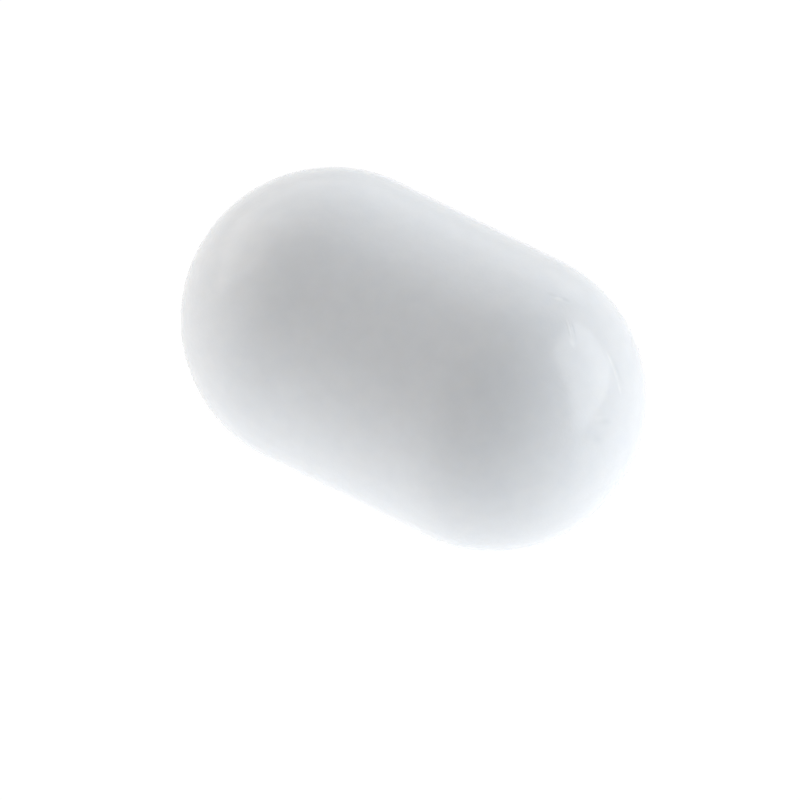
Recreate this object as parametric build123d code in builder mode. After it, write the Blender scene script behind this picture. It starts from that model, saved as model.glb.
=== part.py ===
"""Magnetic stir bar: a cylindrical bar magnet sealed in a one-piece PTFE jacket.

Millimetres. The bar lies on its side with its centre at the origin, its length along X and Z up,
so that Z is also the axis it spins about on the bottom of a vessel.
"""

import os
from math import hypot

from build123d import *

# The jacket's outside: a straight round body with a half-ball at each end.
bar_length = 13.0
bar_diameter = 8.0

# The magnet: a ground rod with its two end edges broken by a small chamfer.
magnet_diameter = 5.5
magnet_length = 9.0
magnet_edge_break = 0.4

# The thinnest PTFE that a moulder leaves over the magnet.
least_wall = 0.8

end_radius = bar_diameter / 2
straight_length = bar_length - bar_diameter

magnet_radius = magnet_diameter / 2
magnet_end = magnet_length / 2

# The jacket is thinnest either along its sides or where it passes the magnet's broken end edges,
# measured out from the middle of the half-ball.
side_wall = end_radius - magnet_radius
end_ball_middle = straight_length / 2
edge_wall = end_radius - hypot(magnet_end - magnet_edge_break - end_ball_middle, magnet_radius)
face_edge_wall = end_radius - hypot(magnet_end - end_ball_middle, magnet_radius - magnet_edge_break)
thinnest_wall = min(side_wall, edge_wall, face_edge_wall)
if thinnest_wall < least_wall:
    raise ValueError(f"the jacket is {thinnest_wall:.2f} mm thick over the magnet, under {least_wall} mm")


# The magnet: a half-section turned about the bar's length, then both end edges chamfered.
with BuildPart() as magnet:
    with BuildSketch(Plane.XY) as magnet_section:
        with Locations((0, magnet_radius / 2)):
            Rectangle(magnet_length, magnet_radius)
    revolve(axis=Axis.X)
    end_edges = magnet.edges().filter_by(GeomType.CIRCLE)
    chamfer(end_edges, magnet_edge_break)


# The jacket: a half-outline of one straight run between two quarter circles, turned about the
# bar's length. The closed hollow inside is exactly the magnet, because the PTFE is moulded onto it.
with BuildPart() as jacket:
    with BuildSketch(Plane.XY) as jacket_section:
        with BuildLine():
            left_tip = (-bar_length / 2, 0)
            left_shoulder = (-straight_length / 2, end_radius)
            right_shoulder = (straight_length / 2, end_radius)
            right_tip = (bar_length / 2, 0)
            RadiusArc(left_tip, left_shoulder, end_radius)
            Line(left_shoulder, right_shoulder)
            RadiusArc(right_shoulder, right_tip, end_radius)
            Line(right_tip, left_tip)
        make_face()
    revolve(axis=Axis.X)
    add(magnet.part, mode=Mode.SUBTRACT)


os.makedirs("parts", exist_ok=True)

magnet.part.label = "magnet"
export_step(magnet.part, "parts/magnet.step")

jacket.part.label = "jacket"
export_step(jacket.part, "parts/jacket.step")
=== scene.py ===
"""Looks of the magnetic stir bar: a bar magnet sealed in a moulded white PTFE jacket.

Metres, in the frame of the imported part: the bar lies along X with its centre at the origin, Z is up.
"""

import math

import bpy
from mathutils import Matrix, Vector, noise


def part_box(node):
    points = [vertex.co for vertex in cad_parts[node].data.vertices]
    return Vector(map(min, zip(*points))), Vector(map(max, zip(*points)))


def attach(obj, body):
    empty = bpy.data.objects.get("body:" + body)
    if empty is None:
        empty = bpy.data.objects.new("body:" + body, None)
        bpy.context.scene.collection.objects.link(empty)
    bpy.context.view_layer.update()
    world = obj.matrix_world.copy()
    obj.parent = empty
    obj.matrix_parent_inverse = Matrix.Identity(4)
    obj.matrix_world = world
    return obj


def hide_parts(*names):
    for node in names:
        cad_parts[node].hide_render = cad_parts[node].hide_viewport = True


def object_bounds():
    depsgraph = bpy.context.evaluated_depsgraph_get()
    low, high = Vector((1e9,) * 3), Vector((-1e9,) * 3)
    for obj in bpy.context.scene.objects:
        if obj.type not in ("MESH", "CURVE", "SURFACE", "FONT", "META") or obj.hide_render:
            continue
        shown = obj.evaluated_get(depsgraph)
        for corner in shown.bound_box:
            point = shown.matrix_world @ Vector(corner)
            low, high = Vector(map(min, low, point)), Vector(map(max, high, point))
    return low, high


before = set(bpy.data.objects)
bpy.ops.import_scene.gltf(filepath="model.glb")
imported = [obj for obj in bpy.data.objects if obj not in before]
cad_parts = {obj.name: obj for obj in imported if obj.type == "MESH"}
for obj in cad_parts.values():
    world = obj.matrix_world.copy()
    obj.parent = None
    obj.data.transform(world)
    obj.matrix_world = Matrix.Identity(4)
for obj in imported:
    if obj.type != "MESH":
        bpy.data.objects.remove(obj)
cad_low, cad_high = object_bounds()


# ---------------------------------------------------------------------------------------------
# Magnet: a cast alnico rod, ground round between wheels and cut square, with both end edges
# broken so that they don't cut the jacket. It goes into the mould first and is never seen again.

magnet_low, magnet_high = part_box("magnet")
magnet_radius = (magnet_high.z - magnet_low.z) / 2
magnet_end = magnet_high.x
magnet_edge_break = 0.0004
magnet_sides = 128


def arc(middle_x, radius, from_deg, to_deg, steps):
    """Points of an arc about (middle_x, 0), as (x, distance from the bar's length)."""
    turns = [math.radians(from_deg + (to_deg - from_deg) * i / steps) for i in range(steps + 1)]
    return [(middle_x + radius * math.cos(t), radius * math.sin(t)) for t in turns]


def run(start, end, steps):
    """Points of a straight run, without its last one."""
    (x0, r0), (x1, r1) = start, end
    return [(x0 + (x1 - x0) * i / steps, r0 + (r1 - r0) * i / steps) for i in range(steps)]


def turned(outline, sides, inside_out=False):
    """Vertices and faces of a half-outline, tip to tip, turned about X into a closed skin."""
    rings = outline[1:-1]
    verts = [Vector((outline[0][0], 0.0, 0.0))]
    for x, r in rings:
        for side in range(sides):
            turn = math.tau * side / sides
            verts.append(Vector((x, r * math.cos(turn), r * math.sin(turn))))
    verts.append(Vector((outline[-1][0], 0.0, 0.0)))
    last = len(verts) - 1
    faces = []
    for side in range(sides):
        beside = (side + 1) % sides
        faces.append((0, 1 + side, 1 + beside))
        for ring in range(len(rings) - 1):
            low, high = 1 + ring * sides, 1 + (ring + 1) * sides
            faces.append((low + side, high + side, high + beside, low + beside))
        low = 1 + (len(rings) - 1) * sides
        faces.append((last, low + beside, low + side))
    if inside_out:
        faces = [tuple(reversed(face)) for face in faces]
    return verts, faces


def piece_from(name, verts, faces, material):
    mesh = bpy.data.meshes.new(name)
    mesh.from_pydata(verts, [], faces)
    mesh.polygons.foreach_set("use_smooth", [True] * len(mesh.polygons))
    mesh.update()
    mesh.materials.append(material)
    piece = bpy.data.objects.new(name, mesh)
    bpy.context.scene.collection.objects.link(piece)
    return piece


def new_material(name):
    material = bpy.data.materials.new(name)
    material.use_nodes = True
    nodes, links = material.node_tree.nodes, material.node_tree.links
    return material, nodes, links, nodes["Principled BSDF"]


def alnico():
    material, nodes, links, shader = new_material("ground_alnico")
    shader.inputs["Metallic"].default_value = 1.0
    place = nodes.new("ShaderNodeTexCoord")
    along = nodes.new("ShaderNodeMapping")
    along.inputs["Scale"].default_value = (60.0, 1.0, 1.0)
    links.new(place.outputs["Object"], along.inputs["Vector"])
    grinding = nodes.new("ShaderNodeTexNoise")
    grinding.inputs["Scale"].default_value = 400.0
    grinding.inputs["Detail"].default_value = 6.0
    links.new(along.outputs["Vector"], grinding.inputs["Vector"])
    colour = nodes.new("ShaderNodeValToRGB")
    colour.color_ramp.elements[0].position = 0.3
    colour.color_ramp.elements[0].color = (0.28, 0.27, 0.25, 1.0)
    colour.color_ramp.elements[1].position = 0.7
    colour.color_ramp.elements[1].color = (0.46, 0.45, 0.43, 1.0)
    links.new(grinding.outputs["Fac"], colour.inputs["Fac"])
    links.new(colour.outputs["Color"], shader.inputs["Base Color"])
    roughness = nodes.new("ShaderNodeMapRange")
    roughness.inputs["To Min"].default_value = 0.32
    roughness.inputs["To Max"].default_value = 0.55
    links.new(grinding.outputs["Fac"], roughness.inputs["Value"])
    links.new(roughness.outputs["Result"], shader.inputs["Roughness"])
    lines = nodes.new("ShaderNodeBump")
    lines.inputs["Strength"].default_value = 0.35
    lines.inputs["Distance"].default_value = 0.000004
    links.new(grinding.outputs["Fac"], lines.inputs["Height"])
    links.new(lines.outputs["Normal"], shader.inputs["Normal"])
    return material


shoulder = magnet_end - magnet_edge_break
face_edge = magnet_radius - magnet_edge_break
magnet_half = run((magnet_end, 0.0), (magnet_end, face_edge), 12)
magnet_half += run((magnet_end, face_edge), (shoulder, magnet_radius), 4)
magnet_half += run((shoulder, magnet_radius), (0.0, magnet_radius), 30)
magnet_outline = [(-x, r) for x, r in magnet_half] + [(0.0, magnet_radius)] + magnet_half[::-1]
magnet_verts, magnet_faces = turned(magnet_outline, magnet_sides)
magnet = piece_from("magnet_rod", magnet_verts, magnet_faces, alnico())
magnet.data.set_sharp_from_angle(angle=math.radians(30))
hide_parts("magnet")
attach(magnet, "root")


# ---------------------------------------------------------------------------------------------
# Jacket: PTFE powder pressed round the magnet and sintered into one sealed skin, a straight round
# body between two half-ball ends. It is waxy, slightly see-through and very smooth to the touch.

end_radius = (cad_high.z - cad_low.z) / 2
bar_end = cad_high.x
ball_middle = bar_end - end_radius
jacket_sides = 288
end_steps = 72
body_steps = 60
moulding_gap = 0.00001
swell_height = 0.000012
swell_length = 0.0028


# Marks near the +X end, in millimetres: where each starts and ends and how wide it is. Each is bumped up as a
# ridge or down as a dent. The ridges are painted paler as a painted highlight, and the dents are painted greyer
# as painted shade.
ridge_marks_with_painted_highlight = [
    ((4.22, 0.74, 3.53), (4.73, 0.26, 3.31), 0.12),
    ((4.66, 0.30, 3.34), (4.82, 0.20, 3.27), 0.22),
    ((3.70, 1.02, 3.67), (3.82, 1.12, 3.60), 0.20),
    ((5.29, 1.01, 2.68), (5.68, 0.84, 2.28), 0.16),
    ((5.60, 0.88, 2.37), (5.90, 0.70, 2.00), 0.17),
    ((5.84, 0.74, 2.08), (6.06, 0.58, 1.74), 0.16),
    ((5.95, -0.62, 1.95), (6.24, 0.02, 1.44), 0.26),
]
# Dents, bumped down and painted greyer as painted shade.
dent_marks_with_painted_shade = [
    ((3.86, 1.20, 3.57), (3.96, 1.26, 3.50), 0.24),
    ((3.54, 1.02, 3.74), (3.64, 1.08, 3.68), 0.24),
    ((4.34, 0.78, 3.46), (4.84, 0.31, 3.23), 0.12),
    ((5.42, 1.06, 2.52), (5.98, 0.80, 1.84), 0.20),
    ((6.08, -0.44, 1.74), (6.20, -0.12, 1.52), 0.40),
    ((6.14, -0.82, 1.48), (6.22, -0.66, 1.26), 0.40),
]
mark_height = 0.0000045
grain_height = 0.000006


def marks_mask(nodes, links, place, marks):
    """A soft-edged patch, 1 in its middle, at each of the marks."""
    total = None
    for start, end, width in marks:
        start, end = Vector(start) / 1000, Vector(end) / 1000
        spot = nodes.new("ShaderNodeMapping")
        spot.vector_type = "TEXTURE"
        spot.inputs["Location"].default_value = (start + end) / 2
        spot.inputs["Rotation"].default_value = (end - start).to_track_quat("X", "Z").to_euler()
        half = width / 2000
        spot.inputs["Scale"].default_value = ((end - start).length / 2 + half, half, half)
        links.new(place.outputs["Object"], spot.inputs["Vector"])
        away = nodes.new("ShaderNodeVectorMath")
        away.operation = "LENGTH"
        links.new(spot.outputs["Vector"], away.inputs[0])
        patch = nodes.new("ShaderNodeMapRange")
        patch.interpolation_type = "SMOOTHSTEP"
        patch.inputs["From Min"].default_value = 1.0
        patch.inputs["From Max"].default_value = 0.0
        links.new(away.outputs["Value"], patch.inputs["Value"])
        if total is None:
            total = patch.outputs["Result"]
            continue
        join = nodes.new("ShaderNodeMath")
        join.operation = "MAXIMUM"
        links.new(total, join.inputs[0])
        links.new(patch.outputs["Result"], join.inputs[1])
        total = join.outputs["Value"]
    return total


def ptfe():
    material, nodes, links, shader = new_material("moulded_ptfe")
    shader.inputs["IOR"].default_value = 1.35
    shader.inputs["Subsurface Weight"].default_value = 1.0
    shader.inputs["Subsurface Radius"].default_value = (1.0, 0.95, 0.9)
    shader.inputs["Subsurface Scale"].default_value = 0.0004
    place = nodes.new("ShaderNodeTexCoord")
    cloud = nodes.new("ShaderNodeTexNoise")
    cloud.inputs["Scale"].default_value = 2000.0
    cloud.inputs["Detail"].default_value = 4.0
    links.new(place.outputs["Object"], cloud.inputs["Vector"])
    colour = nodes.new("ShaderNodeValToRGB")
    colour.color_ramp.elements[0].position = 0.3
    colour.color_ramp.elements[0].color = (0.836, 0.857, 0.886, 1.0)
    colour.color_ramp.elements[1].position = 0.7
    colour.color_ramp.elements[1].color = (0.862, 0.882, 0.909, 1.0)
    links.new(cloud.outputs["Fac"], colour.inputs["Fac"])

    ridge_and_highlight_mask = marks_mask(nodes, links, place, ridge_marks_with_painted_highlight)
    dent_and_shade_mask = marks_mask(nodes, links, place, dent_marks_with_painted_shade)
    # Painted highlight: the base colour turns paler on the raised marks, standing in for light catching the
    # ridges.
    painted_highlight = nodes.new("ShaderNodeMix")
    painted_highlight.data_type = "RGBA"
    painted_highlight.inputs[7].default_value = (0.91, 0.928, 0.95, 1.0)
    links.new(ridge_and_highlight_mask, painted_highlight.inputs[0])
    links.new(colour.outputs["Color"], painted_highlight.inputs[6])
    # Painted shade: the base colour turns greyer in the pressed marks, standing in for shade in the dents.
    painted_shade = nodes.new("ShaderNodeMix")
    painted_shade.data_type = "RGBA"
    painted_shade.inputs[7].default_value = (0.81, 0.835, 0.865, 1.0)
    links.new(dent_and_shade_mask, painted_shade.inputs[0])
    links.new(painted_highlight.outputs[2], painted_shade.inputs[6])
    links.new(painted_shade.outputs[2], shader.inputs["Base Color"])

    roughness = nodes.new("ShaderNodeMapRange")
    roughness.inputs["To Min"].default_value = 0.08
    roughness.inputs["To Max"].default_value = 0.14
    links.new(cloud.outputs["Fac"], roughness.inputs["Value"])
    links.new(roughness.outputs["Result"], shader.inputs["Roughness"])

    grain = nodes.new("ShaderNodeTexNoise")
    grain.inputs["Scale"].default_value = 5000.0
    grain.inputs["Detail"].default_value = 5.0
    grain.inputs["Roughness"].default_value = 0.6
    links.new(place.outputs["Object"], grain.inputs["Vector"])
    pressed_grain = nodes.new("ShaderNodeBump")
    pressed_grain.inputs["Strength"].default_value = 1.0
    pressed_grain.inputs["Distance"].default_value = grain_height
    links.new(grain.outputs["Fac"], pressed_grain.inputs["Height"])
    mark_relief = nodes.new("ShaderNodeMath")
    mark_relief.operation = "SUBTRACT"
    links.new(ridge_and_highlight_mask, mark_relief.inputs[0])
    links.new(dent_and_shade_mask, mark_relief.inputs[1])
    marked = nodes.new("ShaderNodeBump")
    marked.inputs["Strength"].default_value = 1.0
    marked.inputs["Distance"].default_value = mark_height
    links.new(mark_relief.outputs["Value"], marked.inputs["Height"])
    links.new(pressed_grain.outputs["Normal"], marked.inputs["Normal"])
    links.new(marked.outputs["Normal"], shader.inputs["Normal"])
    return material


skin_outline = arc(-ball_middle, end_radius, 180, 90, end_steps)
skin_outline += run((-ball_middle, end_radius), (ball_middle, end_radius), body_steps)[1:]
skin_outline += arc(ball_middle, end_radius, 90, 0, end_steps)
skin_verts, skin_faces = turned(skin_outline, jacket_sides)
for v in skin_verts:
    middle = Vector((max(-ball_middle, min(ball_middle, v.x)), 0.0, 0.0))
    outward = (v - middle).normalized()
    swell = 0.5 + 0.5 * noise.noise(v / swell_length)
    v -= outward * swell_height * swell
hollow_outline = [(x, r + moulding_gap if r else 0.0) for x, r in magnet_outline]
hollow_verts, hollow_faces = turned(hollow_outline, magnet_sides, inside_out=True)
first = len(skin_verts)
skin_faces += [tuple(first + i for i in face) for face in hollow_faces]
jacket = piece_from("ptfe_jacket", skin_verts + hollow_verts, skin_faces, ptfe())
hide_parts("jacket")
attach(jacket, "root")


# ---------------------------------------------------------------------------------------------
# Table: a wide sheet of plain white opal acrylic under the bar.

table_top = cad_low.z
table_half = 0.9
shadow_share = 0.22
table_white = 0.89


def seen_as_backdrop(nodes, links):
    """A mask: 1 to the eye and in reflections, 0 to all other light."""
    path = nodes.new("ShaderNodeLightPath")
    mirrored = nodes.new("ShaderNodeMath")
    mirrored.operation = "MAXIMUM"
    links.new(path.outputs["Is Glossy Ray"], mirrored.inputs[0])
    links.new(path.outputs["Is Transmission Ray"], mirrored.inputs[1])
    seen = nodes.new("ShaderNodeMath")
    seen.operation = "MAXIMUM"
    links.new(path.outputs["Is Camera Ray"], seen.inputs[0])
    links.new(mirrored.outputs["Value"], seen.inputs[1])
    return seen


def table_finish():
    material = bpy.data.materials.new("white_table")
    material.use_nodes = True
    nodes, links = material.node_tree.nodes, material.node_tree.links
    nodes.clear()
    output = nodes.new("ShaderNodeOutputMaterial")
    lit = nodes.new("ShaderNodeBsdfDiffuse")
    lit.inputs["Color"].default_value = (0.6, 0.6, 0.6, 1.0)
    white = nodes.new("ShaderNodeEmission")
    white.inputs["Strength"].default_value = table_white
    faint = nodes.new("ShaderNodeBsdfDiffuse")
    faint.inputs["Color"].default_value = (shadow_share,) * 3 + (1.0,)
    share = nodes.new("ShaderNodeAddShader")
    links.new(white.outputs["Emission"], share.inputs[0])
    links.new(faint.outputs["BSDF"], share.inputs[1])
    seen = seen_as_backdrop(nodes, links)
    choose = nodes.new("ShaderNodeMixShader")
    links.new(seen.outputs["Value"], choose.inputs["Fac"])
    links.new(lit.outputs["BSDF"], choose.inputs[1])
    links.new(share.outputs["Shader"], choose.inputs[2])
    links.new(choose.outputs["Shader"], output.inputs["Surface"])
    return material


corners = [(-1, -1), (1, -1), (1, 1), (-1, 1)]
table_verts = [Vector((x * table_half, y * table_half, table_top)) for x, y in corners]
table = piece_from("table", table_verts, [(0, 1, 2, 3)], table_finish())


# ---------------------------------------------------------------------------------------------
# Camera: a long lens looking down at the bar from its front right.

camera_azimuth = math.radians(33.4)
camera_height = math.radians(48.5)
view_width = 0.02086
aim_right = -0.000344
aim_up = -0.001077

to_camera = Vector((
    math.sin(camera_azimuth) * math.cos(camera_height),
    -math.cos(camera_azimuth) * math.cos(camera_height),
    math.sin(camera_height),
))
right = Vector((math.cos(camera_azimuth), math.sin(camera_azimuth), 0.0))
up = to_camera.cross(right)

lens = bpy.data.cameras.new("long_lens")
lens.sensor_width = 36.0
lens.lens = 600.0
camera = bpy.data.objects.new("camera", lens)
bpy.context.scene.collection.objects.link(camera)
distance = view_width * lens.lens / lens.sensor_width
camera.location = right * aim_right + up * aim_up + to_camera * distance
camera.rotation_euler = to_camera.to_track_quat("Z", "Y").to_euler()
lens.clip_start = 0.01
lens.clip_end = 10.0
bpy.context.scene.camera = camera


# ---------------------------------------------------------------------------------------------
# Light: a white tent with soft boxes round the bar and the darker opening on the camera's side.


def soft_box(name, turn_deg, height_deg, distance, width, height, radiance, roll_deg=0.0, tint=(1.0, 1.0, 1.0)):
    """A soft box facing the bar, turn_deg round from the camera and height_deg above the table."""
    turn = camera_azimuth + math.radians(turn_deg)
    rise = math.radians(height_deg)
    towards = Vector((
        math.sin(turn) * math.cos(rise), -math.cos(turn) * math.cos(rise), math.sin(rise)
    ))
    panel = bpy.data.lights.new(name, "AREA")
    panel.shape = "RECTANGLE"
    panel.size = width
    panel.size_y = height
    panel.energy = radiance * math.pi * width * height
    panel.color = tint
    lamp = bpy.data.objects.new(name, panel)
    lamp.location = towards * distance
    facing = towards.to_track_quat("Z", "Y")
    lamp.rotation_euler = facing.to_euler()
    lamp.rotation_euler.rotate_axis("Z", math.radians(roll_deg))
    lamp.visible_camera = False
    bpy.context.scene.collection.objects.link(lamp)
    return lamp


cool_white = (0.955, 0.98, 1.0)
warm_white = (1.0, 0.955, 0.91)
soft_box("right_box", 92.0, 16.0, 0.41, 0.34, 0.46, 2.80, -35.0, cool_white)
left_box = soft_box("left_box", -90.0, 11.5, 0.40, 0.36, 0.15, 2.60, 0.0, warm_white)
left_box.visible_glossy = False
soft_box("left_back_box", -125.0, 20.0, 0.40, 0.30, 0.30, 1.15, 0.0, warm_white)
soft_box("back_low_box", 180.0, 10.0, 0.40, 0.60, 0.14, 0.70, 0.0, cool_white)
soft_box("back_high_box", 180.0, 40.0, 0.40, 0.50, 0.30, 0.88, 0.0, cool_white)

# A panel lying on the table between the bar and the camera, shining up; only its light is seen.
glow_reach = 0.35
glow_width = 0.60
glow = bpy.data.lights.new("table_glow", "AREA")
glow.shape = "RECTANGLE"
glow.size = glow_width
glow.size_y = glow_reach
glow.color = cool_white
glow.energy = 0.86 * math.pi * glow_width * glow_reach
glow_lamp = bpy.data.objects.new("table_glow", glow)
to_front = Vector((math.sin(camera_azimuth), -math.cos(camera_azimuth), 0.0))
glow_lamp.location = to_front * glow_reach / 2 + Vector((0.0, 0.0, table_top + 0.000001))
glow_lamp.rotation_euler = (math.pi, 0.0, camera_azimuth)
glow_lamp.visible_camera = False
glow_lamp.visible_glossy = False
glow_lamp.visible_transmission = False
bpy.context.scene.collection.objects.link(glow_lamp)

tent_level = 0.30

world = bpy.data.worlds.new("tent")
world.use_nodes = True
bpy.context.scene.world = world
nodes, links = world.node_tree.nodes, world.node_tree.links
nodes.clear()
output = nodes.new("ShaderNodeOutputWorld")
dim = nodes.new("ShaderNodeBackground")
dim.inputs["Strength"].default_value = tent_level
white = nodes.new("ShaderNodeBackground")
white.name = "white"
white.inputs["Color"].default_value = (1.0, 1.0, 1.0, 1.0)
white.inputs["Strength"].default_value = 1.0
seen = seen_as_backdrop(nodes, links)
choose = nodes.new("ShaderNodeMixShader")
links.new(seen.outputs["Value"], choose.inputs["Fac"])
links.new(dim.outputs["Background"], choose.inputs[1])
links.new(white.outputs["Background"], choose.inputs[2])
links.new(choose.outputs["Shader"], output.inputs["Surface"])

bpy.context.scene.view_settings.view_transform = "Standard"
